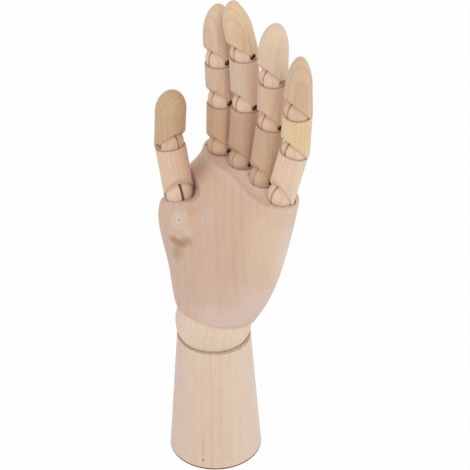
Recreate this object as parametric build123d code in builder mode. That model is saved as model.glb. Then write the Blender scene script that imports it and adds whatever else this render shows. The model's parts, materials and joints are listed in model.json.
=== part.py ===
"""A jointed wooden hand on a turned foot: palm block, five slotted-ball digits and their springs.

Millimetres. The origin is the middle of the foot's underside, +Z is up, the palm faces -Y and
the thumb is on the -X side, which makes it a left hand. The pieces stand in a relaxed pose.
"""

import os
from dataclasses import dataclass
from math import cos, radians, sin, tan

from build123d import *

os.makedirs("parts", exist_ok=True)

# Foot and its felt pad
foot_height = 84.0
foot_bottom_diameter = 56.4
foot_top_diameter = 44.1
foot_top_rounding = 0.5
felt_thickness = 1.0
felt_inset = 0.4

# Wrist ball and the hardware that pulls the palm and the foot on to it
wrist_ball_diameter = 45.6
wrist_ball_rise = 9.5
wrist_clearance = 0.25
wrist_pin_diameter = 4.0
wrist_wire = 2.0
wrist_eye_play = 0.5
wrist_eye_gap = 0.9
wrist_slot_width = 6.8
wrist_slot_half_angle = 40.0
wrist_mouth_angle = 34.0
wrist_coil_diameter = 7.0
wrist_coil_length = 44.0
wrist_bore_play = 0.5
anchor_bar_diameter = 4.0
anchor_bar_length = 20.0
anchor_pocket_diameter = 26.0
anchor_pocket_play = 1.0
washer_thickness = 1.6
washer_gap = 0.2
palm_eye_shank = 26.0
palm_eye_screw_diameter = 5.0
palm_eye_screw_length = 20.0

# Palm block, set on the wrist ball and leaning back
palm_lean = 14.0
palm_rim_height = 6.6
palm_top_rounding = 2.0
palm_top_reach = 30.0
palm_top_tilt = 12.0
palm_top_spare = 14.0
index_edge_rise = 12.0
little_edge_drop = 2.0
spot_face_play = 1.2
thumb_wall_gap = 0.6
thumb_crease_rounding = 7.0
thumb_shoulder_rounding = 2.0

# Digits: barrels, balls and slant cuts
finger_diameter = 16.8
thumb_diameter = 18.0
finger_tip_length = 18.0
thumb_tip_length = 14.0
ball_inset = 0.7
socket_clearance = 0.2
knuckle_rim_drop = 3.6
joint_rim_drop = 3.0
heel_gap = 0.4
rim_rounding = 0.35
slant_angle = 52.0
slant_height = 0.3

# Digit hardware: saw slot, cross pin, springs and screw eyes
slot_width = 1.65
slot_back = 2.6
slot_mouth_angle = 26.0
pin_diameter = 2.0
pin_fit = 0.02
pin_blind_end = 4.5
pin_recess = 3.4
pin_hole_diameter = 4.1
wire = 0.45
wire_gap = 0.3
eye_play = 0.15
knuckle_eye_play = 0.3
coil_diameter = 3.2
coil_gap = 0.8
coil_overlap = 1.0
bore_play = 0.3
palm_coil_length = 13.0
anchor_screw_diameter = 2.4
anchor_screw_length = 9.0


@dataclass
class PalmSection:
    """One cross-section of the palm block, at a height above the wrist centre."""

    height: float
    centre_x: float
    centre_y: float
    half_width: float
    half_depth: float
    fullness: float
    mound: float


@dataclass
class Digit:
    """One finger or the thumb: its knuckle in the palm, its pose and its lengths."""

    name: str
    knuckle: tuple
    forward: float
    fan: float
    turn: float
    flex: tuple
    twist: tuple
    lengths: tuple
    diameter: float
    tip_length: float
    pin_side: int

    @property
    def radius(self):
        return self.diameter / 2

    @property
    def ball_radius(self):
        return self.radius - ball_inset

    @property
    def socket_radius(self):
        return self.ball_radius + socket_clearance


palm_sections = [
    PalmSection(palm_rim_height, 0.0, 0.5, 24.2, 23.4, 0.72, 0.0),
    PalmSection(18.0, 0.4, 1.5, 28.8, 22.2, 0.75, 3.2),
    PalmSection(45.0, 0.6, 3.6, 35.8, 19.0, 0.78, 13.0),
    PalmSection(66.0, -0.6, 5.6, 39.2, 16.2, 0.79, 15.6),
    PalmSection(84.0, -1.8, 6.8, 40.6, 14.2, 0.81, 3.0),
    PalmSection(104.0, -3.0, 7.4, 41.6, 12.8, 0.82, 0.0),
]
mound_left_share = 0.25
mound_front_share = 0.22
mound_angle = 53.0

digits = [
    Digit("index", (-27.8, 7.2, 100.0), 0.0, 0.7, 0.0, (13.0, 4.0, 1.0), (0.0, 0.0, 0.0),
          (30.9, 26.8, 34.2), finger_diameter, finger_tip_length, 1),
    Digit("middle", (-8.9, 7.2, 99.1), 0.0, 1.7, 0.0, (10.0, 7.7, 10.4), (0.0, 0.0, 0.0),
          (36.4, 33.3, 34.7), finger_diameter, finger_tip_length, 1),
    Digit("ring", (10.3, 7.2, 95.9), 0.0, 4.7, 0.0, (7.7, 8.2, 2.0), (0.0, 0.0, 0.0),
          (35.9, 29.5, 34.1), finger_diameter, finger_tip_length, 1),
    Digit("little", (29.0, 5.0, 92.8), 0.0, 8.6, 0.0, (2.0, 16.0, 2.0), (0.0, 0.0, 0.0),
          (30.1, 27.7, 35.7), finger_diameter, finger_tip_length, -1),
    Digit("thumb", (-32.6, -15.0, 71.3), 13.5, -16.0, 67.0, (6.0, 16.0), (0.0, 24.0),
          (32.4, 37.0), thumb_diameter, thumb_tip_length, -1),
]

# Share of its corner at which a Bezier's handles follow a quarter ellipse
quarter_round = 0.5523

# Turn of a ball that keeps its surface's seam clear of the slot and the pin hole
seam_turn = 50.0

# Places that several pieces share
wrist_radius = wrist_ball_diameter / 2
wrist_socket_radius = wrist_radius + wrist_clearance
wrist_height = foot_height + wrist_ball_rise
wrist_eye_radius = wrist_pin_diameter / 2 + wrist_eye_play + wrist_wire / 2
wrist_eye_offset = wrist_wire / 2 + wrist_eye_gap / 2
wrist_bore_radius = wrist_coil_diameter / 2 + wrist_bore_play
pin_radius = pin_diameter / 2
eye_offset = wire / 2 + wire_gap / 2
eye_radius = pin_radius + eye_play + wire / 2
knuckle_eye_radius = pin_radius + knuckle_eye_play + wire / 2
bore_radius = coil_diameter / 2 + bore_play
foot_plane = Plane.XY
wrist_plane = Plane.XY.offset(wrist_height)
palm_plane = wrist_plane.moved(Rotation(-palm_lean, 0, 0))


def save(piece, name):
    """Label a finished piece and write its file."""
    piece.part.label = name
    export_step(piece.part, f"parts/{name}.step")


def side_plane(plane):
    """The plane's local YZ plane, seen along its local X axis."""
    return Plane(plane.origin, x_dir=plane.y_dir, z_dir=plane.x_dir)


def front_plane(plane):
    """The plane's local XZ plane, with local Z up the sketch."""
    return Plane(plane.origin, x_dir=plane.x_dir, z_dir=-plane.y_dir)


def knuckle_plane(digit):
    """The digit's socket in the palm: origin at the ball's centre, Z out along the digit."""
    tilt = Rotation(digit.forward, digit.fan, 0) * Rotation(0, 0, digit.turn)
    return palm_plane.moved(Location(digit.knuckle) * tilt)


def joint_planes(digit):
    """For each joint of a digit, the plane of its ball and the plane of the segment above it."""
    ball_plane = knuckle_plane(digit)
    planes = []
    for flex, twist, length in zip(digit.flex, digit.twist, digit.lengths):
        ball_plane = ball_plane.moved(Rotation(0, 0, twist))
        segment_plane = ball_plane.moved(Rotation(flex, 0, 0))
        planes.append((ball_plane, segment_plane))
        ball_plane = segment_plane.offset(length)
    return planes


def spring_eye(offset, height, radius, wire_size, shank_end, turn=0):
    """An eye of wire round the local X axis, with a straight shank up or down to shank_end."""
    middle = Location((0, 0, height), (0, 0, turn)) * Location((offset, 0, 0))
    shank_start = height + radius if shank_end > height else height - radius
    shank = Location((0, 0, (shank_start + shank_end) / 2 - height))
    with Locations(middle):
        Torus(radius, wire_size / 2, rotation=(0, 90, 0))
    with Locations(middle * shank):
        Cylinder(wire_size / 2, abs(shank_end - shank_start))


def ball_outline(plane, radius, mouth_top, mouth_angle):
    """Half outline of a ball with a flared mouth below, for turning about the plane's Z axis."""
    flare = radians(mouth_angle)
    rim = (radius * sin(flare), -radius * cos(flare))
    with BuildSketch(side_plane(plane.moved(Rotation(0, 0, seam_turn)))) as outline:
        with BuildLine():
            Polyline((0, radius), (0, -mouth_top), (mouth_top * tan(flare), -mouth_top), rim)
            ThreePointArc(rim, (radius, 0), (0, radius))
        make_face()
    return outline.sketch


def coil_sleeve(bottom, top, outer_diameter, inner_radius):
    """The closed coils of a tension spring, as a plain sleeve whose wall takes the eyes' shanks."""
    with Locations((0, 0, (bottom + top) / 2)):
        Cylinder(outer_diameter / 2, top - bottom)
        Cylinder(inner_radius, top - bottom, mode=Mode.SUBTRACT)


def cross_pin(digit, ball_place):
    """The steel pin across a ball, pressed in from one side."""
    tip = digit.ball_radius - pin_recess
    with Locations(ball_place * Location((digit.pin_side * (tip - pin_blind_end) / 2, 0, 0))):
        Cylinder(pin_radius, tip + pin_blind_end, rotation=(0, 90, 0))


def make_foot():
    """Turned cone with a ball socket on top, a bore for the spring and a pocket below."""
    socket_floor = wrist_height - wrist_socket_radius
    bar_drop = washer_thickness + washer_gap + anchor_bar_diameter / 2
    eye_drop = anchor_bar_diameter / 2 + wrist_eye_play + wrist_wire
    pocket_depth = bar_drop + eye_drop + anchor_pocket_play
    with BuildPart() as foot:
        with BuildSketch(Plane.XZ) as profile:
            with BuildLine():
                Polyline(
                    (0, felt_thickness),
                    (foot_bottom_diameter / 2, felt_thickness),
                    (foot_top_diameter / 2, foot_height),
                    (0, foot_height),
                    close=True,
                )
            make_face()
        revolve(axis=Axis.Z)
        fillet(foot.edges().group_by(Axis.Z)[-1], foot_top_rounding)
        with Locations((0, 0, wrist_height)):
            Sphere(wrist_socket_radius, mode=Mode.SUBTRACT)
        with BuildSketch(foot_plane.offset(felt_thickness)):
            Circle(wrist_bore_radius)
        extrude(amount=socket_floor, mode=Mode.SUBTRACT)
        with BuildSketch(foot_plane.offset(felt_thickness)):
            Circle(anchor_pocket_diameter / 2)
        extrude(amount=pocket_depth, mode=Mode.SUBTRACT)
    save(foot, "base_cone")

    with BuildPart() as felt:
        with BuildSketch(foot_plane):
            Circle(foot_bottom_diameter / 2 - felt_inset)
        extrude(amount=felt_thickness)
    save(felt, "base_felt")

    pocket_ceiling = felt_thickness + pocket_depth
    with BuildPart() as washer:
        with BuildSketch(foot_plane.offset(pocket_ceiling - washer_thickness)):
            Circle(anchor_pocket_diameter / 2 - wrist_bore_play)
            Circle(eye_drop + wrist_eye_offset, mode=Mode.SUBTRACT)
        extrude(amount=washer_thickness)
    save(washer, "base_washer")
    return pocket_ceiling - bar_drop


def make_wrist(bar_height):
    """Anchor bar, spring, slotted wrist ball and its cross pin."""
    with BuildPart(foot_plane.offset(bar_height)) as bar:
        Cylinder(anchor_bar_diameter / 2, anchor_bar_length, rotation=(0, 90, 0))
    save(bar, "wrist_anchor_bar")

    drop = bar_height - wrist_height
    low_eye = anchor_bar_diameter / 2 + wrist_eye_play + wrist_wire / 2
    coil_top = -wrist_radius - wrist_bore_play
    coil_bottom = coil_top - wrist_coil_length
    with BuildPart(wrist_plane) as spring:
        coil_sleeve(coil_bottom, coil_top, wrist_coil_diameter, wrist_eye_offset)
        spring_eye(wrist_eye_offset, 0, wrist_eye_radius, wrist_wire, coil_top - wrist_wire)
        spring_eye(wrist_eye_offset, drop, low_eye, wrist_wire, coil_bottom + wrist_wire)
    save(spring, "wrist_spring")

    wedge = wrist_ball_diameter * tan(radians(wrist_slot_half_angle))
    eye_room = wrist_eye_radius + wrist_wire
    pin_end = wrist_radius / 2
    pin_tip = wrist_radius - pin_recess
    with BuildPart(wrist_plane) as ball:
        outline = ball_outline(wrist_plane, wrist_radius, wrist_eye_radius, wrist_mouth_angle)
        revolve(outline, axis=Axis.Z)
        with BuildSketch(side_plane(wrist_plane)):
            Circle(eye_room)
            with BuildLine():
                Polyline(
                    (0, 0),
                    (wedge, wrist_ball_diameter),
                    (-wedge, wrist_ball_diameter),
                    close=True,
                )
            make_face()
        extrude(amount=wrist_slot_width / 2, both=True, mode=Mode.SUBTRACT)
        with Locations(((pin_end - wrist_ball_diameter) / 2, 0, 0)):
            Cylinder(wrist_pin_diameter / 2 + pin_fit, wrist_ball_diameter + pin_end,
                     rotation=(0, 90, 0), mode=Mode.SUBTRACT)
    save(ball, "wrist_ball")

    with BuildPart(wrist_plane) as pin:
        with Locations((-(pin_tip - pin_end) / 2, 0, 0)):
            Cylinder(wrist_pin_diameter / 2, pin_tip + pin_end, rotation=(0, 90, 0))
    save(pin, "wrist_pin")


def palm_outline(section):
    """Closed soft outline through four sides and four corners, swollen at the thumb's corner."""
    wide = section.half_width
    deep = section.half_depth
    corner_x = wide * section.fullness
    corner_y = deep * section.fullness
    swell_x = section.mound * cos(radians(mound_angle))
    swell_y = section.mound * sin(radians(mound_angle))
    points = [
        (wide, 0),
        (corner_x, corner_y),
        (0, deep),
        (-corner_x, corner_y),
        (-wide - mound_left_share * section.mound, 0),
        (-corner_x - swell_x, -corner_y - swell_y),
        (0, -deep - mound_front_share * section.mound),
        (corner_x, -corner_y),
    ]
    place = Location((section.centre_x, section.centre_y, section.height))
    with BuildSketch(palm_plane.moved(place)) as outline:
        with BuildLine():
            Spline(*points, periodic=True)
        make_face()
    return outline.sketch


def crown_outline(fingers):
    """The region above the palm's top, whose lower edge runs through the finger sockets' rims."""
    first = fingers[0]
    edge = [(finger.knuckle[0], finger.knuckle[2] - knuckle_rim_drop) for finger in fingers]
    start = (edge[0][0] - palm_top_reach, edge[0][1] + index_edge_rise)
    finish = (edge[-1][0] + palm_top_reach, edge[-1][1] - little_edge_drop)
    ceiling = first.knuckle[2] + palm_top_spare
    with BuildSketch(front_plane(palm_plane).offset(-first.knuckle[1])) as crown:
        with BuildLine():
            Spline(start, *edge, finish)
            Polyline(finish, (finish[0], ceiling), (start[0], ceiling), start)
        make_face()
    return crown.sketch


def thumb_room(thumb):
    """The space cut from the palm for the thumb: a shoulder at its rim and a wall beside it."""
    socket = knuckle_plane(thumb)
    wall = thumb.radius + thumb_wall_gap
    reach = 2 * palm_sections[-1].half_width
    with BuildPart(socket) as room:
        with Locations((wall, 0, -knuckle_rim_drop)):
            Box(reach, 2 * reach, reach, align=(Align.MAX, Align.CENTER, Align.MIN))
        inner = room.edges().filter_by(Axis(socket.origin, socket.y_dir))
        inner = inner.sort_by(Axis(socket.origin, socket.x_dir - socket.z_dir))[-1]
        fillet(inner, thumb_crease_rounding)
    return room.part


def make_palm():
    """Carved palm block with its thumb mound, sockets, spring bores and screw holes."""
    thumb = digits[-1]
    fingers = digits[:-1]
    sections = [palm_outline(section) for section in palm_sections]
    eye_bore = wrist_eye_offset + wrist_wire / 2 + wrist_bore_play
    backwards = palm_plane.y_dir + palm_plane.z_dir * tan(radians(palm_top_tilt))
    with BuildPart() as palm:
        loft(sections)
        extrude(crown_outline(fingers), amount=wrist_ball_diameter, dir=backwards, both=True,
                mode=Mode.SUBTRACT)
        fillet(palm.edges(Select.LAST), palm_top_rounding)
        add(thumb_room(thumb), mode=Mode.SUBTRACT)
        shoulder = palm.edges(Select.LAST).filter_by(GeomType.LINE, reverse=True)
        fillet(shoulder, thumb_shoulder_rounding)
        with Locations((0, 0, wrist_height)):
            Sphere(wrist_socket_radius, mode=Mode.SUBTRACT)
        with Locations(palm_plane.offset(palm_eye_shank / 2).location):
            Cylinder(eye_bore, palm_eye_shank, mode=Mode.SUBTRACT)
        with Locations(palm_plane.offset(palm_eye_shank + palm_eye_screw_length / 2).location):
            Cylinder(palm_eye_screw_diameter / 2 + pin_fit, palm_eye_screw_length,
                     mode=Mode.SUBTRACT)
        for digit in digits:
            socket = knuckle_plane(digit)
            bore_depth = digit.ball_radius + coil_gap + palm_coil_length + coil_gap
            screw_depth = bore_depth + anchor_screw_length
            with Locations(socket.location):
                Sphere(digit.socket_radius, mode=Mode.SUBTRACT)
            with Locations(socket.offset(palm_top_spare - knuckle_rim_drop).location):
                Cylinder(digit.radius + spot_face_play, 2 * palm_top_spare, mode=Mode.SUBTRACT)
            with Locations(socket.offset(-bore_depth / 2).location):
                Cylinder(bore_radius, bore_depth, mode=Mode.SUBTRACT)
            with Locations(socket.offset(-screw_depth / 2).location):
                Cylinder(anchor_screw_diameter / 2 + pin_fit, screw_depth, mode=Mode.SUBTRACT)
    save(palm, "palm")

    with BuildPart(palm_plane) as eye:
        spring_eye(-wrist_eye_offset, 0, wrist_eye_radius, wrist_wire, palm_eye_shank)
        with Locations((0, 0, palm_eye_shank + palm_eye_screw_length / 2)):
            Cylinder(palm_eye_screw_diameter / 2, palm_eye_screw_length)
    save(eye, "palm_wrist_eye")

    with BuildPart() as springs:
        for digit in digits:
            coil_top = -digit.ball_radius - coil_gap
            coil_bottom = coil_top - palm_coil_length
            with Locations(knuckle_plane(digit).location):
                coil_sleeve(coil_bottom, coil_top, coil_diameter, eye_offset)
                spring_eye(eye_offset, 0, knuckle_eye_radius, wire, coil_top - coil_overlap)
                screw_top = coil_bottom + coil_overlap
                screw_length = coil_overlap + coil_gap + anchor_screw_length
                with Locations((0, 0, screw_top - screw_length / 2)):
                    Cylinder(anchor_screw_diameter / 2, screw_length)
    save(springs, "palm_springs")


def make_ball(plane, digit, name, flared):
    """Wooden joint ball with a saw slot from the front and a pin hole from one side."""
    radius = digit.ball_radius
    side = digit.pin_side
    reach = digit.diameter
    with BuildPart(plane) as ball:
        if flared:
            outline = ball_outline(plane, radius, knuckle_eye_radius, slot_mouth_angle)
            revolve(outline, axis=Axis(plane.origin, plane.z_dir))
        else:
            Sphere(radius, rotation=(0, 0, seam_turn))
        with Locations((0, (slot_back - reach) / 2, 0)):
            Box(slot_width, slot_back + reach, 2 * reach, mode=Mode.SUBTRACT)
        with Locations((side * (reach - pin_blind_end) / 2, 0, 0)):
            Cylinder(pin_radius + pin_fit, reach + pin_blind_end, rotation=(0, 90, 0),
                     mode=Mode.SUBTRACT)
        with Locations((side * (radius - pin_recess + reach) / 2, 0, 0)):
            Cylinder(pin_hole_diameter / 2, reach - radius + pin_recess, rotation=(0, 90, 0),
                     mode=Mode.SUBTRACT)
    save(ball, name)


def slant_outline(plane, digit):
    """The wedge sawn off a segment's lower front, from its heel up past the ball."""
    heel = heel_gap - joint_rim_drop
    slope = tan(radians(slant_angle))
    heel_y = (slant_height - heel) / slope
    front = -digit.diameter
    with BuildSketch(side_plane(plane)) as wedge:
        with BuildLine():
            Polyline(
                (heel_y, heel),
                (front, slant_height - slope * front),
                (front, heel - digit.radius),
                (heel_y, heel - digit.radius),
                close=True,
            )
        make_face()
    return wedge.sketch


def hollow_lower_end(plane, digit):
    """Cut a segment's ball socket, slant and pin hole."""
    side = digit.pin_side
    Sphere(digit.socket_radius, mode=Mode.SUBTRACT)
    extrude(slant_outline(plane, digit), amount=digit.diameter, both=True, mode=Mode.SUBTRACT)
    with Locations((side * digit.radius, 0, 0)):
        Cylinder(pin_hole_diameter / 2, digit.radius, rotation=(0, 90, 0), mode=Mode.SUBTRACT)


def make_barrel(plane, digit, length, name):
    """Turned segment between two balls, bored through for its spring."""
    heel = heel_gap - joint_rim_drop
    top = length - joint_rim_drop
    with BuildPart(plane) as barrel:
        with Locations((0, 0, (heel + top) / 2)):
            Cylinder(digit.radius, top - heel)
        fillet(barrel.edges().sort_by(Axis(plane.origin, plane.z_dir))[-1], rim_rounding)
        hollow_lower_end(plane, digit)
        with Locations((0, 0, length)):
            Sphere(digit.socket_radius, mode=Mode.SUBTRACT)
        with Locations((0, 0, length / 2)):
            Cylinder(bore_radius, length, mode=Mode.SUBTRACT)
    save(barrel, name)


def make_segment_spring(plane, digit, length, twist, name):
    """Tension spring from the pin below a barrel to the pin above, and that upper pin."""
    coil_bottom = digit.ball_radius + coil_gap
    coil_top = length - digit.ball_radius - coil_gap
    with BuildPart(plane) as spring:
        coil_sleeve(coil_bottom, coil_top, coil_diameter, eye_offset)
        spring_eye(-eye_offset, 0, eye_radius, wire, coil_bottom + coil_overlap)
        spring_eye(eye_offset, length, eye_radius, wire, coil_top - coil_overlap, twist)
        cross_pin(digit, Location((0, 0, length), (0, 0, twist)))
    save(spring, name)


def make_tip(plane, digit, length, name):
    """Fingertip: a barrel that runs out in a half ellipse."""
    heel = heel_gap - joint_rim_drop
    shoulder = length - digit.tip_length
    screw_top = digit.ball_radius + coil_gap + anchor_screw_length
    with BuildPart(plane) as tip:
        with BuildSketch(side_plane(plane)):
            with BuildLine():
                Line((0, heel), (digit.radius, heel))
                Line((digit.radius, heel), (digit.radius, shoulder))
                Bezier(
                    (digit.radius, shoulder),
                    (digit.radius, shoulder + quarter_round * digit.tip_length),
                    (quarter_round * digit.radius, length),
                    (0, length),
                )
                Line((0, length), (0, heel))
            make_face()
        revolve(axis=Axis(plane.origin, plane.z_dir))
        hollow_lower_end(plane, digit)
        with Locations((0, 0, screw_top / 2)):
            Cylinder(anchor_screw_diameter / 2 + pin_fit, screw_top, mode=Mode.SUBTRACT)
    save(tip, f"{name}_tip")

    screw_bottom = digit.ball_radius + coil_gap
    with BuildPart(plane) as eye:
        spring_eye(-eye_offset, 0, eye_radius, wire, screw_bottom + coil_overlap)
        with Locations((0, 0, (screw_bottom + screw_top) / 2)):
            Cylinder(anchor_screw_diameter / 2, screw_top - screw_bottom)
    save(eye, f"{name}_tip_eye")


def make_digit(digit):
    """Every ball, barrel, spring, pin and the tip of one digit."""
    planes = joint_planes(digit)
    joints = ["knuckle", "mid", "end"] if len(planes) == 3 else ["knuckle", "end"]
    barrels = ["lower", "upper"]
    for number, (ball_plane, segment_plane) in enumerate(planes):
        length = digit.lengths[number]
        ball_name = f"{digit.name}_{joints[number]}_ball"
        make_ball(ball_plane, digit, ball_name, flared=number == 0)
        if number == len(planes) - 1:
            make_tip(segment_plane, digit, length, digit.name)
        else:
            barrel_name = f"{digit.name}_{barrels[number]}"
            twist = digit.twist[number + 1]
            make_barrel(segment_plane, digit, length, f"{barrel_name}_segment")
            make_segment_spring(segment_plane, digit, length, twist, f"{barrel_name}_spring")
    with BuildPart(planes[0][0]) as pin:
        cross_pin(digit, Location())
    save(pin, f"{digit.name}_knuckle_pin")


bar_height = make_foot()
make_wrist(bar_height)
make_palm()
for digit in digits:
    make_digit(digit)
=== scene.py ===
"""Looks of a jointed wooden hand on a turned foot: its wood, felt and steel, a studio and a camera.

Every length that is written in millimetres says so in its name; Blender's own lengths are metres.
"""

import json
import logging
from collections.abc import Mapping
from dataclasses import dataclass, replace
from enum import Enum
from math import cos, pi, radians, sin
from typing import Any

import bmesh
import bpy
import numpy as np
from mathutils import Matrix, Vector


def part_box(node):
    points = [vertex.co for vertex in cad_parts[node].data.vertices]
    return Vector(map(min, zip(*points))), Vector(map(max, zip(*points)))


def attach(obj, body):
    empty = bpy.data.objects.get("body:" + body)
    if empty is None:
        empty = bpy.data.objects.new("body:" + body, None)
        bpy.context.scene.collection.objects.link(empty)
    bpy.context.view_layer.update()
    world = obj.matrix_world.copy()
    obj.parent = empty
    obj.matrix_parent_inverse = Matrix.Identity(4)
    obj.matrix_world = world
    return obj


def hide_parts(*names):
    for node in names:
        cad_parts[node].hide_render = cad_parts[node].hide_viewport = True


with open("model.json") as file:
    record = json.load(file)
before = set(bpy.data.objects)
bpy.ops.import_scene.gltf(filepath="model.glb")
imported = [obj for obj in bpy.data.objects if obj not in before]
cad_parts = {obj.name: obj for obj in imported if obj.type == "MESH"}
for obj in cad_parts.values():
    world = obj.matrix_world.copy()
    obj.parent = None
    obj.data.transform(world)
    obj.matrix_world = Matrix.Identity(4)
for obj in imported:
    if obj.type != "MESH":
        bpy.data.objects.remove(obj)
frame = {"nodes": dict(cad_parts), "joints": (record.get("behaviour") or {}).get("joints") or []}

log = logging.getLogger("wooden_hand")

Material = bpy.types.Material
Socket = bpy.types.NodeSocket
Outputs = bpy.types.NodeOutputs
Tree = bpy.types.NodeTree
Triple = tuple[float, float, float]
Pair = tuple[float, float]

MM = 0.001
WELD_MM = 0.002
CRISP_ANGLE = 28.0

# A Mix node for colours and its sockets: how much, the colour below, the colour on top, the result.
COLOURS = {"data_type": "RGBA"}
SHARE, BELOW, ABOVE, MIXED = 0, 6, 7, 2

# A Map Range node that fades in and out softly.
SMOOTH = {"interpolation_type": "SMOOTHSTEP"}

# Nearly all of a noise texture's values lie between these two.
NOISE_LOW, NOISE_HIGH = 0.3, 0.7

# Pores are read from another part of the noise than fibres, so that they don't fall together.
PORE_SHIFT = (31.0, 17.0, 5.0)


def linear(hex_colour: str) -> tuple[float, float, float, float]:
    """Turn an sRGB hex colour into linear red, green, blue and alpha.

    Args:
        hex_colour: six hex digits after a hash sign.

    Returns:
        Four numbers from 0 to 1; each channel c becomes ((c + 0.055) / 1.055) to the power 2.4,
        or c / 12.92 where it is below 0.04045.
    """
    parts = [int(hex_colour[i:i + 2], 16) / 255 for i in (1, 3, 5)]
    out = [c / 12.92 if c <= 0.04045 else ((c + 0.055) / 1.055) ** 2.4 for c in parts]
    return (out[0], out[1], out[2], 1.0)


def add(tree: Tree, kind: str, settings: Mapping[str, Any],
        inputs: Mapping[int | str, Any]) -> Outputs:
    """Add one node with its settings, values and links.

    Args:
        tree: the material's or world's node tree.
        kind: the node's Blender type name, after ShaderNode.
        settings: attributes of the node, such as its operation.
        inputs: socket name or number to a value, or to an output socket that is linked to it.

    Returns:
        The new node's output sockets.
    """
    made = tree.nodes.new("ShaderNode" + kind)
    for name, value in settings.items():
        setattr(made, name, value)
    for key, value in inputs.items():
        if isinstance(value, Socket):
            tree.links.new(value, made.inputs[key])
        else:
            made.inputs[key].default_value = value
    return made.outputs


def new_tree(name: str) -> tuple[Material, Tree]:
    """Make an empty node material.

    Args:
        name: the material's name.

    Returns:
        The material and its tree.
    """
    material = bpy.data.materials.new(name)
    material.use_nodes = True
    material.node_tree.nodes.clear()
    return material, material.node_tree


def seen_directly(tree: Tree) -> Socket:
    """Tell the rays that show the background from those that light the object.

    It is the largest of Light Path's marks for camera, glossy and transmission rays.

    Args:
        tree: the floor's or the world's node tree.

    Returns:
        1 where the background is seen, also in metal, and 0 where it only gives light.
    """
    ray = add(tree, "LightPath", {}, {})
    seen = ray["Is Camera Ray"]
    for kind in ("Is Glossy Ray", "Is Transmission Ray"):
        seen = add(tree, "Math", {"operation": "MAXIMUM"}, {0: seen, 1: ray[kind]})[0]
    return seen


def linked(name: str, data: bpy.types.ID) -> bpy.types.Object:
    """Make an object and put it into the scene.

    Args:
        name: the object's name.
        data: its mesh, lamp or camera.

    Returns:
        The object, at the origin.
    """
    made = bpy.data.objects.new(name, data)
    bpy.context.scene.collection.objects.link(made)
    return made


def mesh_points(mesh: bpy.types.Mesh) -> np.ndarray:
    """Read the points of a mesh.

    Args:
        mesh: the mesh.

    Returns:
        One row of X, Y and Z for each point, in metres.
    """
    points = np.empty(len(mesh.vertices) * 3, np.float32)
    mesh.vertices.foreach_get("co", points)
    return points.reshape(-1, 3)


def grain_place(origin: Vector, along: Vector, across: Vector) -> Matrix:
    """The frame of a piece of wood, with Z along its grain.

    Args:
        origin: a point on the piece's axis, in metres.
        along: the direction of the grain.
        across: a direction that becomes X once it is squared to the grain.

    Returns:
        A 4 by 4 matrix from the piece's frame to the hand's.
    """
    z = along.normalized()
    y = z.cross(across).normalized()
    x = y.cross(z)
    return Matrix.Translation(origin) @ Matrix((x, y, z)).transposed().to_4x4()


class Cut(Enum):
    """How a blank was sawn from the tree: where the tree's heart lies beside it, in mm."""

    FLAT = (4.0, 34.0)
    SIDE = (-44.0, 18.0)
    QUARTER = (-62.0, -9.0)
    HEART = (2.0, 9.0)
    RADIAL = (-66.0, -68.0)
    ACROSS = (6.0, -70.0)


@dataclass(frozen=True)
class Mark:
    """A knot, its ripples, a stain or a patch of painted light or shade: a soft spot round a point on
    the wood.

    Attributes:
        at_mm: the spot's middle in the hand's frame.
        spread_mm: how far it reaches along X, Y and Z.
        tint: its colour.
        show: how strongly it covers the wood, 0 to 1.
        ripples: the number of rings within its reach, or 0 for a plain spot.
        fray: how far noise moves its edge, as a share of its reach.
        fade: the shares of its reach between which it fades out.
        trough: the height of the sine wave, from -1 to 1, below which a ripple doesn't show.
    """

    at_mm: Triple
    spread_mm: Triple
    tint: str
    show: float
    ripples: float = 0.0
    fray: float = 0.22
    fade: Pair = (0.15, 1.1)
    trough: float = -0.2


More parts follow.
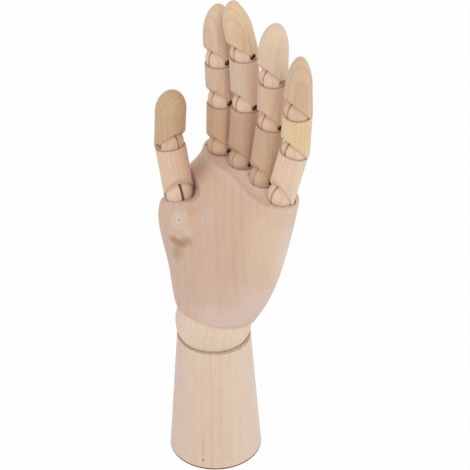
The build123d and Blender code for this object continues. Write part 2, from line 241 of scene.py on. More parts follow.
@dataclass(frozen=True)
class WoodFinish:
    """Pale hardwood such as lotus or birch, turned or carved, sanded and left raw.

    Raw sanded wood is matt with a faint sheen at grazing angles, shows fine fibres along the grain,
    weak growth lines and slow pink and yellow drifts of colour.

    Attributes:
        pale: colour of the early wood.
        late: colour of the late wood's lines.
        blush: pink that drifts over the surface in patches.
        honey: yellow that drifts over it in other patches.
        cut: where the tree's heart lies.
        ring_mm: distance between growth lines.
        ring_show: strength of the growth lines.
        blush_show: strength of the pink patches.
        honey_show: strength of the yellow patches.
        pore_show: strength of the pore streaks.
        turn: turn of the blank about its grain, in degrees.
        marks: knots, stains and patches of painted light and shade.
        fibre_mm: width of a fibre bundle, drawn coarser than life so that it shows.
        fibre_run_mm: its length along the grain.
        drift_mm: size of the slow colour patches across the grain.
        drift_run: how many times longer they are along the grain.
        pore_mm: width of a pore streak, drawn coarser than life so that it shows.
        pore_run_mm: its length along the grain.
        bend_mm: how far the growth lines wander.
        lean: how far they lean, in mm for each mm along the grain.
        line_power: how narrow a line is beside the pale wood between lines.
        year_step: how much the lines' strength changes from one year to the next.
        years: strength of the weakest and of the strongest year's line.
        blush_edge: noise values between which a pink patch fades in.
        honey_edge: noise values between which a yellow patch fades in.
        pore_edge: noise values between which a pore fades in.
        shade: brightness of the darkest and of the palest fibre.
        rough: roughness of the smoothest and of the roughest fibre.
        rise_mm: how far fibres stand up.
        rise_show: strength of that relief.
    """

    pale: str
    late: str = "#a97a4e"
    blush: str = "#d9ad92"
    honey: str = "#dcbf98"
    cut: Cut = Cut.SIDE
    ring_mm: float = 2.6
    ring_show: float = 0.14
    blush_show: float = 0.3
    honey_show: float = 0.25
    pore_show: float = 0.16
    turn: float = 0.0
    marks: tuple[Mark, ...] = ()

    fibre_mm: float = 0.55
    fibre_run_mm: float = 16.0
    drift_mm: float = 17.0
    drift_run: float = 5.0
    pore_mm: float = 1.1
    pore_run_mm: float = 22.0

    bend_mm: float = 5.0
    lean: float = 0.045
    line_power: float = 3.0
    year_step: float = 0.31
    years: Pair = (0.15, 1.5)

    blush_edge: Pair = (0.4, 0.68)
    honey_edge: Pair = (0.42, 0.64)
    pore_edge: Pair = (0.62, 0.74)
    shade: Pair = (0.93, 1.05)
    rough: Pair = (0.52, 0.66)
    rise_mm: float = 0.06
    rise_show: float = 0.35

    def material(self, name: str, place: Matrix) -> Material:
        """Build the wood of one piece.

        Args:
            name: the material's name.
            place: the piece's frame, with Z along the grain.

        Returns:
            The material.
        """
        material, tree = new_tree(name)
        turned = place @ Matrix.Rotation(radians(self.turn), 4, "Z")
        hand = add(tree, "TexCoord", {}, {})["Object"]
        local = add(tree, "Mapping", {"vector_type": "TEXTURE"}, {
            "Vector": hand, "Location": turned.to_translation(),
            "Rotation": turned.to_euler("XYZ"), "Scale": (MM, MM, MM)})[0]
        drift = self.drawn_noise(tree, local, self.drift_mm, self.drift_run * self.drift_mm, detail=2.0)
        fibre = self.drawn_noise(tree, local, self.fibre_mm, self.fibre_run_mm, detail=3.0, rough=0.6)[0]
        lines = self.growth_lines(tree, local, drift["Color"])

        colour = self.tinted(tree, local, drift, lines)
        for mark in self.marks:
            colour = self.marked(tree, hand, colour, mark, fibre)
        shade = add(tree, "MapRange", {}, {
            "Value": fibre, "From Min": NOISE_LOW, "From Max": NOISE_HIGH,
            "To Min": self.shade[0], "To Max": self.shade[1]})[0]
        colour = add(tree, "VectorMath", {"operation": "SCALE"}, {0: colour, "Scale": shade})[0]
        colour = self.detail(tree, local, colour)

        rough = add(tree, "MapRange", {}, {
            "Value": fibre, "From Min": NOISE_LOW, "From Max": NOISE_HIGH,
            "To Min": self.rough[0], "To Max": self.rough[1]})[0]
        rise = add(tree, "Math", {"operation": "SUBTRACT"}, {0: fibre, 1: lines})[0]
        bump = add(tree, "Bump", {}, {
            "Height": rise, "Strength": self.rise_show, "Distance": self.rise_mm * MM})[0]
        shader = add(tree, "BsdfPrincipled", {}, {
            "Base Color": colour, "Roughness": rough, "Normal": bump, "IOR": 1.5,
            "Specular IOR Level": 0.4, "Sheen Weight": 0.18})[0]
        add(tree, "OutputMaterial", {}, {"Surface": shader})
        return material

    def drawn_noise(self, tree: Tree, local: Socket, wide_mm: float, long_mm: float, detail: float,
                    rough: float = 0.5, shift: Triple = (0.0, 0.0, 0.0)) -> Outputs:
        """Noise that is drawn out along the grain: positions are divided by its width and length.

        Args:
            tree: the wood's node tree.
            local: positions in the piece's frame, in mm.
            wide_mm: its size across the grain.
            long_mm: its size along the grain.
            detail: how many finer noises lie on it.
            rough: how strong these are.
            shift: steps to another part of the noise.

        Returns:
            The noise node's output sockets.
        """
        scaled = add(tree, "Mapping", {}, {
            "Vector": local, "Location": shift, "Scale": (1 / wide_mm, 1 / wide_mm, 1 / long_mm)})
        return add(tree, "TexNoise", {}, {
            "Vector": scaled[0], "Scale": 1.0, "Detail": detail, "Roughness": rough})

    def growth_lines(self, tree: Tree, local: Socket, wander: Socket) -> Socket:
        """Draw the late wood's lines, circles round the tree's heart.

        The distance to the heart's axis, bent by slow noise and leaning with the height, is divided
        by the line spacing; a power of its sine wave is a soft dark line at each step. Noise along
        the count of steps makes some years stronger.

        Args:
            tree: the wood's node tree.
            local: positions in the piece's frame, in mm.
            wander: the slow noise.

        Returns:
            How dark the line is, 0 between lines.
        """
        bent = add(tree, "VectorMath", {"operation": "MULTIPLY_ADD"}, {
            0: wander, 1: (self.bend_mm, self.bend_mm, 0.0), 2: local})[0]
        heart = add(tree, "VectorMath", {"operation": "SUBTRACT"}, {
            0: bent, 1: (*self.cut.value, 0.0)})[0]
        flat = add(tree, "VectorMath", {"operation": "MULTIPLY"}, {0: heart, 1: (1.0, 1.0, 0.0)})[0]
        away = add(tree, "VectorMath", {"operation": "LENGTH"}, {0: flat})["Value"]
        height = add(tree, "SeparateXYZ", {}, {0: local})["Z"]
        leaning = add(tree, "Math", {"operation": "MULTIPLY_ADD"}, {
            0: height, 1: self.lean, 2: away})[0]
        count = add(tree, "Math", {"operation": "DIVIDE"}, {0: leaning, 1: self.ring_mm})[0]
        phase = add(tree, "Math", {"operation": "MULTIPLY"}, {0: count, 1: 2 * pi})[0]
        sine = add(tree, "Math", {"operation": "SINE"}, {0: phase})[0]
        wave = add(tree, "MapRange", {}, {"Value": sine, "From Min": -1.0})[0]
        line = add(tree, "Math", {"operation": "POWER"}, {0: wave, 1: self.line_power})[0]
        year = add(tree, "TexNoise", {"noise_dimensions": "1D"}, {
            "W": count, "Scale": self.year_step, "Detail": 1.0})[0]
        weak, strong = self.years
        strength = add(tree, "MapRange", {}, {
            "Value": year, "From Min": NOISE_LOW, "From Max": NOISE_HIGH,
            "To Min": weak * self.ring_show, "To Max": strong * self.ring_show})[0]
        return add(tree, "Math", {"operation": "MULTIPLY"}, {0: line, 1: strength})[0]

    def tinted(self, tree: Tree, local: Socket, drift: Outputs, lines: Socket) -> Socket:
        """Mix the wood's own colours: pale wood, pink and yellow patches, pores and growth lines.

        Args:
            tree: the wood's node tree.
            local: positions in the piece's frame, in mm.
            drift: the slow noise; its value places the pink, its blue channel the yellow.
            lines: how dark the growth line is.

        Returns:
            The colour.
        """
        other = add(tree, "SeparateColor", {}, {0: drift["Color"]})["Blue"]
        streak = self.drawn_noise(tree, local, self.pore_mm, self.pore_run_mm, detail=1.0,
                                  shift=PORE_SHIFT)[0]
        colour: Any = linear(self.pale)
        for noise, (low, high), show, tint in (
                (drift[0], self.blush_edge, self.blush_show, self.blush),
                (other, self.honey_edge, self.honey_show, self.honey),
                (streak, self.pore_edge, self.pore_show, self.late)):
            amount = add(tree, "MapRange", SMOOTH, {
                "Value": noise, "From Min": low, "From Max": high,
                "To Min": 0.0, "To Max": show})[0]
            colour = add(tree, "Mix", COLOURS, {
                SHARE: amount, BELOW: colour, ABOVE: linear(tint)})[MIXED]
        return add(tree, "Mix", COLOURS, {SHARE: lines, BELOW: colour, ABOVE: linear(self.late)})[MIXED]

    def detail(self, tree: Tree, local: Socket, colour: Socket) -> Socket:
        """Lay over the wood what its kind of piece has more; plain wood has nothing."""
        return colour

    def marked(self, tree: Tree, hand: Socket, colour: Socket, mark: Mark, wobble: Socket) -> Socket:
        """Lay one knot, stain or patch of painted light or shade over the wood's colour.

        Its reach is the distance to its middle, divided by its spread; ripples are the sine of
        that distance.

        Args:
            tree: the wood's node tree.
            hand: positions in the hand's frame, in metres.
            colour: the colour so far.
            mark: the knot, stain or patch of painted light or shade.
            wobble: noise that frays its edge.

        Returns:
            The new colour.
        """
        near = add(tree, "VectorMath", {"operation": "SUBTRACT"}, {
            0: hand, 1: tuple(v * MM for v in mark.at_mm)})[0]
        part = add(tree, "VectorMath", {"operation": "DIVIDE"}, {
            0: near, 1: tuple(v * MM for v in mark.spread_mm)})[0]
        reach = add(tree, "VectorMath", {"operation": "LENGTH"}, {0: part})["Value"]
        frayed = add(tree, "Math", {"operation": "MULTIPLY_ADD"}, {
            0: wobble, 1: mark.fray, 2: reach})[0]
        amount = add(tree, "MapRange", SMOOTH, {
            "Value": frayed, "From Min": mark.fade[0], "From Max": mark.fade[1],
            "To Min": mark.show, "To Max": 0.0})[0]
        if mark.ripples:
            wave = add(tree, "Math", {"operation": "MULTIPLY"}, {
                0: frayed, 1: 2 * pi * mark.ripples})[0]
            sine = add(tree, "Math", {"operation": "SINE"}, {0: wave})[0]
            crest = add(tree, "MapRange", {}, {
                "Value": sine, "From Min": mark.trough, "From Max": 1.0})[0]
            amount = add(tree, "Math", {"operation": "MULTIPLY"}, {0: amount, 1: crest})[0]
        return add(tree, "Mix", COLOURS, {
            SHARE: amount, BELOW: colour, ABOVE: linear(mark.tint)})[MIXED]


@dataclass(frozen=True)
class BarrelFinish(WoodFinish):
    """Wood of a turned barrel, whose upper rim is a fine darker line: partly darker end grain, partly
    painted shade of the gap under the ball above.

    Attributes:
        rim_mm: height of the rim along the grain.
        rim_wide_mm: width of its line.
        rim_line_and_shade_tint: colour of its line, darker end grain with painted shade.
        rim_line_and_shade_show: strength of its line.
    """

    rim_mm: float = 0.0
    rim_wide_mm: float = 0.25
    # The rim's line: darker end grain with painted shade of the gap under the ball.
    rim_line_and_shade_tint: str = "#8a6242"
    rim_line_and_shade_show: float = 0.28

    def detail(self, tree: Tree, local: Socket, colour: Socket) -> Socket:
        """Darken the rim: partly darker end grain, partly painted shade of the gap under the ball.

        Args:
            tree: the wood's node tree.
            local: positions in the barrel's frame, in mm.
            colour: the colour so far.

        Returns:
            The new colour.
        """
        height = add(tree, "SeparateXYZ", {}, {0: local})["Z"]
        # Painted shade of the gap under the ball, with darker end grain, as a line at the rim.
        edge = add(tree, "MapRange", {}, {
            "Value": height, "From Min": self.rim_mm - self.rim_wide_mm, "From Max": self.rim_mm,
            "To Min": 0.0, "To Max": self.rim_line_and_shade_show})[0]
        return add(tree, "Mix", COLOURS, {
            SHARE: edge, BELOW: colour, ABOVE: linear(self.rim_line_and_shade_tint)})[MIXED]


@dataclass(frozen=True)
class BallFinish(WoodFinish):
    """Wood of a slotted ball, with painted light and shade in its slot, in its pin hole and low by the
    socket.

    Attributes:
        hole_light_and_shade: colour painted on the hole's wall at its mouth: dark by default, as painted
            shade of the hole; pale on the balls whose holes are painted light.
        pin_glint: colour painted on the wall further in, a painted glint of the pin's end.
        bore_mm: radius round the pin's axis within which the wood is the hole's wall.
        hole_shade_from_mm: distance from the ball's middle beyond which the wall takes the painted shade
            of the mouth instead of the painted glint.
        hole_shade_soft_mm: how far that change fades to each side of that distance.
        sawn: colour of the saw cut's walls, painted pale as light against the shade in the slot.
        slot_mm: half width of the saw cut.
        socket_shade: strength of the brown shade painted on the lower side, where the ball sits in the
            socket.
        socket_shade_tint: colour of that painted shade.
        socket_shade_mm: depth below the ball's middle at which it is full.
    """

    # Painted shade at the pin hole's mouth and a painted glint of the pin further in.
    hole_light_and_shade: str = "#5c3416"
    pin_glint: str = "#ecd4b6"
    bore_mm: float = 2.09
    hole_shade_from_mm: float = 5.5
    hole_shade_soft_mm: float = 0.3
    # Painted light: the slot's walls are pale against the shade in the slot.
    sawn: str = "#f0cfae"
    slot_mm: float = 0.88
    # Painted shade: brown on the lower side, where the ball sits in the socket; none by default.
    socket_shade: float = 0.0
    socket_shade_tint: str = "#a8744c"
    socket_shade_mm: float = 4.5

    def detail(self, tree: Tree, local: Socket, colour: Socket) -> Socket:
        """Paint brown shade on the lower side, light on the slot's walls, and shade and the pin's glint
        in the hole; the pin runs along X.

        Args:
            tree: the wood's node tree.
            local: positions in the ball's frame, in mm.
            colour: the colour so far.

        Returns:
            The new colour.
        """
        parts = add(tree, "SeparateXYZ", {}, {0: local})
        # Painted shade, browner towards the bottom, where the ball sits in the socket.
        low = add(tree, "MapRange", SMOOTH, {
            "Value": parts["Z"], "From Min": 0.0, "From Max": -self.socket_shade_mm,
            "To Min": 0.0, "To Max": self.socket_shade})[0]
        off = add(tree, "Math", {"operation": "ABSOLUTE"}, {0: parts["X"]})[0]
        # Painted light on the slot's walls, pale against their shade.
        slot = add(tree, "Math", {"operation": "LESS_THAN"}, {0: off, 1: self.slot_mm})[0]
        # Painted shade at the hole's mouth and a painted glint of the pin's end further in.
        flat = add(tree, "VectorMath", {"operation": "MULTIPLY"}, {0: local, 1: (0.0, 1.0, 1.0)})[0]
        away = add(tree, "VectorMath", {"operation": "LENGTH"}, {0: flat})["Value"]
        hole_light_and_shade = add(tree, "Math", {"operation": "LESS_THAN"}, {0: away, 1: self.bore_mm})[0]
        inner = add(tree, "MapRange", SMOOTH, {
            "Value": off, "From Min": self.hole_shade_from_mm - self.hole_shade_soft_mm,
            "From Max": self.hole_shade_from_mm + self.hole_shade_soft_mm,
            "To Min": 1.0, "To Max": 0.0})[0]
        wall = add(tree, "Mix", COLOURS, {
            SHARE: inner, BELOW: linear(self.hole_light_and_shade), ABOVE: linear(self.pin_glint)})[MIXED]
        for amount, tint in ((low, linear(self.socket_shade_tint)), (slot, linear(self.sawn)), (hole_light_and_shade, wall)):
            colour = add(tree, "Mix", COLOURS, {SHARE: amount, BELOW: colour, ABOVE: tint})[MIXED]
        return colour


@dataclass(frozen=True)
class FootFinish(WoodFinish):
    """Wood of the foot, whose socket rim is torn end grain: a rough, speckled brown band.

    Attributes:
        rim_mm: height at which the band begins.
        rim_soft_mm: height over which it comes in.
        torn: its colour.
        speck_mm: size of its specks.
        speck_edge: noise values between which a speck fades in.
        speck_show: strength of the band between the specks and on them.
    """

    rim_mm: float = 82.5
    rim_soft_mm: float = 0.3
    torn: str = "#9d7d5b"
    speck_mm: float = 0.9
    speck_edge: Pair = (0.4, 0.58)
    speck_show: Pair = (0.3, 0.8)

    def detail(self, tree: Tree, local: Socket, colour: Socket) -> Socket:
        """Lay the band over the wood; noise at the specks' size breaks it up.

        Args:
            tree: the wood's node tree.
            local: positions in the foot's frame, in mm.
            colour: the colour so far.

        Returns:
            The new colour.
        """
        height = add(tree, "SeparateXYZ", {}, {0: local})["Z"]
        edge = add(tree, "MapRange", {}, {
            "Value": height, "From Min": self.rim_mm,
            "From Max": self.rim_mm + self.rim_soft_mm})[0]
        grit = add(tree, "TexNoise", {}, {
            "Vector": local, "Scale": 1 / self.speck_mm, "Detail": 2.0})[0]
        speck = add(tree, "MapRange", SMOOTH, {
            "Value": grit, "From Min": self.speck_edge[0], "From Max": self.speck_edge[1],
            "To Min": self.speck_show[0], "To Max": self.speck_show[1]})[0]
        amount = add(tree, "Math", {"operation": "MULTIPLY"}, {0: edge, 1: speck})[0]
        return add(tree, "Mix", COLOURS, {
            SHARE: amount, BELOW: colour, ABOVE: linear(self.torn)})[MIXED]


@dataclass(frozen=True)
class SteelFinish:
    """Drawn steel wire and pins, left with their dark mill scale: dull, with fine scratches.

    Attributes:
        tint: colour of the bare steel.
        scale: colour of the mill scale.
        scratch_mm: size of the scratches, drawn coarser than life so that they show.
        rough: roughness of the smoothest and of the most scratched steel.
    """

    tint: str = "#8b8177"
    scale: str = "#4a443e"
    scratch_mm: float = 0.12
    rough: Pair = (0.28, 0.5)

    def material(self, name: str) -> Material:
        """Build the metal; noise at the scratch size sets its roughness and how much scale is left.

        Args:
            name: the material's name.

        Returns:
            The material.
        """
        material, tree = new_tree(name)
        hand = add(tree, "TexCoord", {}, {})["Object"]
        grit = add(tree, "TexNoise", {}, {
            "Vector": hand, "Scale": 1 / (self.scratch_mm * MM), "Detail": 2.0})[0]
        rough = add(tree, "MapRange", {}, {
            "Value": grit, "To Min": self.rough[0], "To Max": self.rough[1]})[0]
        dull = add(tree, "Mix", COLOURS, {
            SHARE: grit, BELOW: linear(self.tint), ABOVE: linear(self.scale)})[MIXED]
        shader = add(tree, "BsdfPrincipled", {}, {
            "Base Color": dull, "Roughness": rough, "Metallic": 1.0})[0]
        add(tree, "OutputMaterial", {}, {"Surface": shader})
        return material


@dataclass(frozen=True)
class FeltFinish:
    """Pressed wool felt: matt, fuzzy, dyed dark red.

    Attributes:
        tint: colour of the tufts.
        dark: colour between them.
        tuft_mm: size of the fibre clumps.
        rise_mm: how far they stand up.
        rise_show: strength of that relief.
    """

    tint: str = "#6e1f1d"
    dark: str = "#431012"
    tuft_mm: float = 0.6
    rise_mm: float = 0.2
    rise_show: float = 0.7

    def material(self, name: str) -> Material:
        """Build the felt; tufts are noise at the fibre clumps' size, in colour and in bump.

        Args:
            name: the material's name.

        Returns:
            The material.
        """
        material, tree = new_tree(name)
        hand = add(tree, "TexCoord", {}, {})["Object"]
        tuft = add(tree, "TexNoise", {}, {
            "Vector": hand, "Scale": 1 / (self.tuft_mm * MM), "Detail": 4.0,
            "Roughness": 0.7})[0]
        colour = add(tree, "Mix", COLOURS, {
            SHARE: tuft, BELOW: linear(self.dark), ABOVE: linear(self.tint)})[MIXED]
        bump = add(tree, "Bump", {}, {
            "Height": tuft, "Strength": self.rise_show, "Distance": self.rise_mm * MM})[0]
        shader = add(tree, "BsdfPrincipled", {}, {
            "Base Color": colour, "Roughness": 0.95, "Normal": bump,
            "Sheen Weight": 0.25})[0]
        add(tree, "OutputMaterial", {}, {"Surface": shader})
        return material


def cover(solid: bpy.types.Object, material: Material) -> None:
    """Put a finish on a closed skin and shade it smooth up to its crisp edges.

    Args:
        solid: the piece, its skin joined.
        material: its finish.
    """
    solid.data.materials.clear()
    solid.data.materials.append(material)
    split = solid.modifiers.new("crisp_edges", "EDGE_SPLIT")
    split.split_angle = radians(CRISP_ANGLE)
    normal = solid.modifiers.new("even_shading", "WEIGHTED_NORMAL")
    normal.keep_sharp = True


def dress(node: str, material: Material) -> None:
    """Give a solid its finish and a smooth skin with crisp edges.

    Args:
        node: the solid's name.
        material: its finish.
    """
    solid = frame["nodes"][node]
    weld = solid.modifiers.new("joined_skin", "WELD")
    weld.merge_threshold = WELD_MM * MM
    cover(solid, material)
    log.info("dressed %s in %s", node, material.name)


def joint_point(name: str) -> tuple[Vector, Vector]:
    """A joint's place and axis at rest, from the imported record."""
    found = next(j for j in frame["joints"] if j["name"] == name)
    return Vector(found["pos_m"]), Vector(found["axis"])


def far_point(node: str, start: Vector) -> Vector:
    """The point of a solid that lies farthest from a start point, which on a tip is its apex.

    Args:
        node: the solid's name.
        start: the start point, in metres.

    Returns:
        The far point, in metres.
    """
    points = mesh_points(frame["nodes"][node].data)
    away = np.linalg.norm(points - np.array(start), axis=1)
    return Vector(points[int(away.argmax())])


@dataclass(frozen=True)
class TipForm:
    """How a turned fingertip was sanded by hand.

    Attributes:
        lean_mm: how far its end leans to its outer side.
        taper: share of its radius that is lost all round at the end.
        planed: share of its radius that is lost at the end on the outer side.
        shorter_mm: how much its end was sanded down.
        begin: share of its length, from the joint, at which the sanding begins.
        outer: the outer side in the hand's frame, between the little finger and the back.
    """

    lean_mm: float = 0.0
    taper: float = 0.0
    planed: float = 0.0
    shorter_mm: float = 0.0
    begin: float = 0.25
    outer: Triple = (0.643, 0.766, 0.0)

    def moved(self, points: np.ndarray, start: np.ndarray, along: np.ndarray) -> np.ndarray:
        """Move a turned tip's points to the sanded form.

        Let t go from 0 where the sanding begins to 1 at the end. The distance from the axis loses
        taper times t; its part towards the outer side also loses planed times t to the power 1.5;
        all of it leans by lean times t squared and sinks by shorter times t.

        Args:
            points: the tip's points, one row each, in metres.
            start: the joint's centre.
            along: the tip's axis.

        Returns:
            The moved points.
        """
        outer = np.array(self.outer) - along * np.dot(self.outer, along)
        outer /= np.linalg.norm(outer)
        height = (points - start) @ along
        t = np.clip((height / height.max() - self.begin) / (1 - self.begin), 0, 1)[:, None]
        axis = start + height[:, None] * along
        away = (points - axis) * (1 - self.taper * t)
        across = np.clip(away @ outer, 0, None)[:, None]
        push = self.lean_mm * MM * t ** 2 - self.planed * across * t ** 1.5
        return axis + away + push * outer - self.shorter_mm * MM * t * along

    def build(self, digit: str, start: Vector, end: Vector, material: Material) -> None:
        """Sand a joined copy of the turned tip and let it stand for the tip.

        Args:
            digit: the finger's name.
            start: the joint's centre.
            end: the turned tip's apex.
            material: the tip's finish.
        """
        node = f"{digit}_tip"
        mesh = frame["nodes"][node].data.copy()
        skin = bmesh.new()
        skin.from_mesh(mesh)
        bmesh.ops.remove_doubles(skin, verts=skin.verts, dist=WELD_MM * MM)
        skin.to_mesh(mesh)
        skin.free()
        along = np.array((end - start).normalized())
        sanded = self.moved(mesh_points(mesh).astype(float), np.array(start), along)
        mesh.vertices.foreach_set("co", sanded.astype(np.float32).ravel())
        mesh.update()
        mesh.shade_smooth()
        piece = linked(f"{node}_sanded", mesh)
        cover(piece, material)
        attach(piece, node)
        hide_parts(node)
        log.info("%s: %d points", piece.name, len(mesh.vertices))


@dataclass
class FeltPad:
    """The thin felt disc glued under the foot, with a rounded, slightly fluffy edge.

    Attributes:
        finish: the felt.
        spread_mm: how far the pressed pad spreads past its cut size.
        edge_mm: how far the edge is rounded inwards.
        edge_steps: rows of points over the rounded edge.
        flat_rows: shares of the radius at which the flat faces have a row of points.
        fluff_mm: how far single tufts stand back from the cut.
        fluff_share: share of the radius, from the edge inwards, that the fluff reaches.
        waves: turns and phase of each wave of the fluff round the disc.
        columns: points round the edge.
    """

    finish: FeltFinish
    spread_mm: float = 0.55
    edge_mm: float = 0.3
    edge_steps: int = 9
    flat_rows: Pair = (0.35, 0.8)
    fluff_mm: float = 0.16
    fluff_share: float = 0.1
    waves: tuple[Pair, ...] = ((37, 0.0), (61, 1.3), (83, 0.4))
    columns: int = 240

    def surface(self, radius: float, low: float, high: float) -> np.ndarray:
        """Work out the disc's points but for the middles of its two faces.

        A profile of radius and height goes from near the middle of the top over the edge, a half
        circle drawn out to edge_mm, to near the middle of the underside, and is carried round the
        foot's axis. The radius near the edge loses the mean of the waves, which is the fluff.

        Args:
            radius: the disc's radius, in metres.
            low: height of its underside.
            high: height of its top.

        Returns:
            The points by row of the profile, column round the disc, and X, Y and Z.
        """
        thick = high - low
        edge = self.edge_mm * MM
        swing = np.linspace(pi / 2, -pi / 2, self.edge_steps)
        flat = radius * np.array(self.flat_rows)
        reach = np.concatenate((flat, radius - edge + edge * np.cos(swing), flat[::-1]))
        level = np.concatenate((np.full(len(flat), thick), thick / 2 * (1 + np.sin(swing)),
                                np.zeros(len(flat))))
        turn = np.linspace(0, 2 * pi, self.columns, endpoint=False)
        swell = sum(np.sin(turns * turn + phase) for turns, phase in self.waves)
        fluff = swell / (2 * len(self.waves)) + 0.5
        inner = (1 - self.fluff_share) * radius
        near_edge = np.clip((reach - inner) / (radius - inner), 0, 1)
        round_reach = reach[:, None] - self.fluff_mm * MM * near_edge[:, None] * fluff[None, :]
        return np.stack((round_reach * np.cos(turn), round_reach * np.sin(turn),
                         np.repeat(low + level[:, None], self.columns, 1)), axis=-1)

    def faces(self, rows: int) -> list[list[int]]:
        """Join neighbouring points to four-sided faces and the two middles to their rings.

        Args:
            rows: rows of the profile.

        Returns:
            The faces as lists of point numbers; the two middles come after all rows.
        """
        row, column = np.meshgrid(np.arange(rows - 1), np.arange(self.columns), indexing="ij")
        after = (column + 1) % self.columns
        quads = np.stack((row * self.columns + column, (row + 1) * self.columns + column,
                          (row + 1) * self.columns + after, row * self.columns + after), axis=-1)
        ring = np.arange(self.columns)
        beside = (ring + 1) % self.columns
        top = np.full_like(ring, rows * self.columns)
        under = top + 1
        last = (rows - 1) * self.columns
        caps = np.concatenate((np.stack((top, ring, beside), axis=-1),
                               np.stack((under, last + beside, last + ring), axis=-1)))
        return quads.reshape(-1, 4).tolist() + caps.tolist()

    def build(self) -> None:
        """Make the disc and let it stand for the plain one."""
        low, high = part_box("base_felt")
        radius = (high[0] - low[0]) / 2 + self.spread_mm * MM
        points = self.surface(radius, low[2], high[2])
        middles = np.array([(0.0, 0.0, high[2]), (0.0, 0.0, low[2])])
        mesh = bpy.data.meshes.new("felt_pad")
        mesh.from_pydata(np.concatenate((points.reshape(-1, 3), middles)).tolist(), [],
                         self.faces(len(points)))
        mesh.materials.append(self.finish.material("felt_red_wool"))
        mesh.shade_smooth()
        pad = linked("felt_pad", mesh)
        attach(pad, "base")
        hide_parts("base_felt")
        log.info("felt_pad: %d points", len(mesh.vertices))


@dataclass
class Foot:
    """The turned foot with its felt pad and the steel washer inside.

    Attributes:
        wood: the foot's finish.
        pad: the felt pad.
        steel: the washer's metal.
        grain: direction of the grain, up the foot.
        facing: the side that the growth lines are placed from.
    """

    wood: FootFinish
    pad: FeltPad
    steel: Material
    grain: Triple = (0.02, 0.03, 1.0)
    facing: Triple = (0.77, -0.64, 0.0)

    def dress(self) -> None:
        """Dress the foot's solids and lay the pad under it."""
        place = grain_place(Vector((0, 0, 0)), Vector(self.grain), Vector(self.facing))
        dress("base_cone", self.wood.material("foot_raw_wood", place))
        dress("base_washer", self.steel)
        self.pad.build()


@dataclass
class Wrist:
    """The wrist ball with its pin, spring and anchor bar.

    Attributes:
        wood: the ball's finish.
        steel: the metal of the rest.
        grain: direction of the ball's grain, a little off upright.
        facing: the side that the growth lines are placed from.
    """

    wood: WoodFinish
    steel: Material
    grain: Triple = (0.15, 0.1, 1.0)
    facing: Triple = (0.7, -0.7, 0.0)

    def dress(self) -> None:
        """Dress the wrist's solids."""
        centre, _ = joint_point("wrist_turn")
        place = grain_place(centre, Vector(self.grain), Vector(self.facing))
        dress("wrist_ball", self.wood.material("wrist_ball_raw_wood", place))
        for node in ("wrist_pin", "wrist_spring", "wrist_anchor_bar"):
            dress(node, self.steel)


@dataclass
class Palm:
    """The carved palm block with its springs.

    Attributes:
        wood: the block's finish.
        steel: the metal of the springs and the eye.
        grain: direction of the grain, which leans towards the thumb as it rises.
        facing: the side that the growth lines are placed from.
    """

    wood: WoodFinish
    steel: Material
    grain: Triple = (-0.36, 0.33, 0.87)
    facing: Triple = (1.0, 0.0, 0.0)

    def dress(self) -> None:
        """Dress the palm's solids."""
        centre, _ = joint_point("wrist_turn")
        place = grain_place(centre, Vector(self.grain), Vector(self.facing))
        dress("palm", self.wood.material("palm_raw_wood", place))
        dress("palm_wrist_eye", self.steel)
        dress("palm_springs", self.steel)


@dataclass
class Digit:
    """One finger or the thumb.

    Attributes:
        name: its name in the part.
        segments: a finish for each barrel, from the palm outwards.
        tip: the tip's finish.
        balls: a finish for each ball, from the palm outwards.
        form: how the tip was sanded.
        steel: the pins' and springs' metal.
        rim_drop_mm: how far a barrel's upper rim lies below the ball above it.
    """

    name: str
    segments: list[BarrelFinish]
    tip: WoodFinish
    balls: list[BallFinish]
    form: TipForm
    steel: Material
    rim_drop_mm: float = 3.0

    def stages(self) -> list[str]:
        """The joints' names from the palm outwards."""
        return ["knuckle", "mid", "end"] if len(self.segments) == 2 else ["knuckle", "end"]

    def dress(self) -> None:
        """Dress every solid of the digit, with the grain along each barrel."""
        stages = self.stages()
        points = [joint_point(f"{self.name}_{stage}_flex") for stage in stages]
        apex = far_point(f"{self.name}_tip", points[-1][0])
        ends = [point for point, _ in points[1:]] + [apex]
        for number, (stage, (start, axis), end) in enumerate(zip(stages, points, ends)):
            place = grain_place(start, end - start, axis)
            ball = self.balls[number].material(f"{self.name}_{stage}_ball_raw_wood", place)
            dress(f"{self.name}_{stage}_ball", ball)
            if number < len(self.segments):
                part = ("lower", "upper")[number]
                length = (end - start).length / MM
                wood = replace(self.segments[number], rim_mm=length - self.rim_drop_mm)
                dress(f"{self.name}_{part}_segment",
                      wood.material(f"{self.name}_{part}_raw_wood", place))
                dress(f"{self.name}_{part}_spring", self.steel)
            else:
                wood = self.tip.material(f"{self.name}_tip_raw_wood", place)
                self.form.build(self.name, start, end, wood)
        dress(f"{self.name}_knuckle_pin", self.steel)
        dress(f"{self.name}_tip_eye", self.steel)


@dataclass(frozen=True)
class Softbox:
    """A square lamp with soft, even light.

    Attributes:
        name: its name.
        spot: its place, in metres.
        size: its side, in metres.
        power: its watts.
    """

    name: str
    spot: Triple
    size: float
    power: float

    def build(self, aim: Vector) -> None:
        """Hang the lamp so that it faces a point.

        Args:
            aim: the point, in metres.
        """
        data = bpy.data.lights.new(self.name, "AREA")
        data.energy = self.power
        data.size = self.size
        lamp = linked(self.name, data)
        lamp.location = self.spot
        lamp.rotation_mode = "QUATERNION"
        lamp.rotation_quaternion = (aim - Vector(self.spot)).to_track_quat("-Z", "Y")


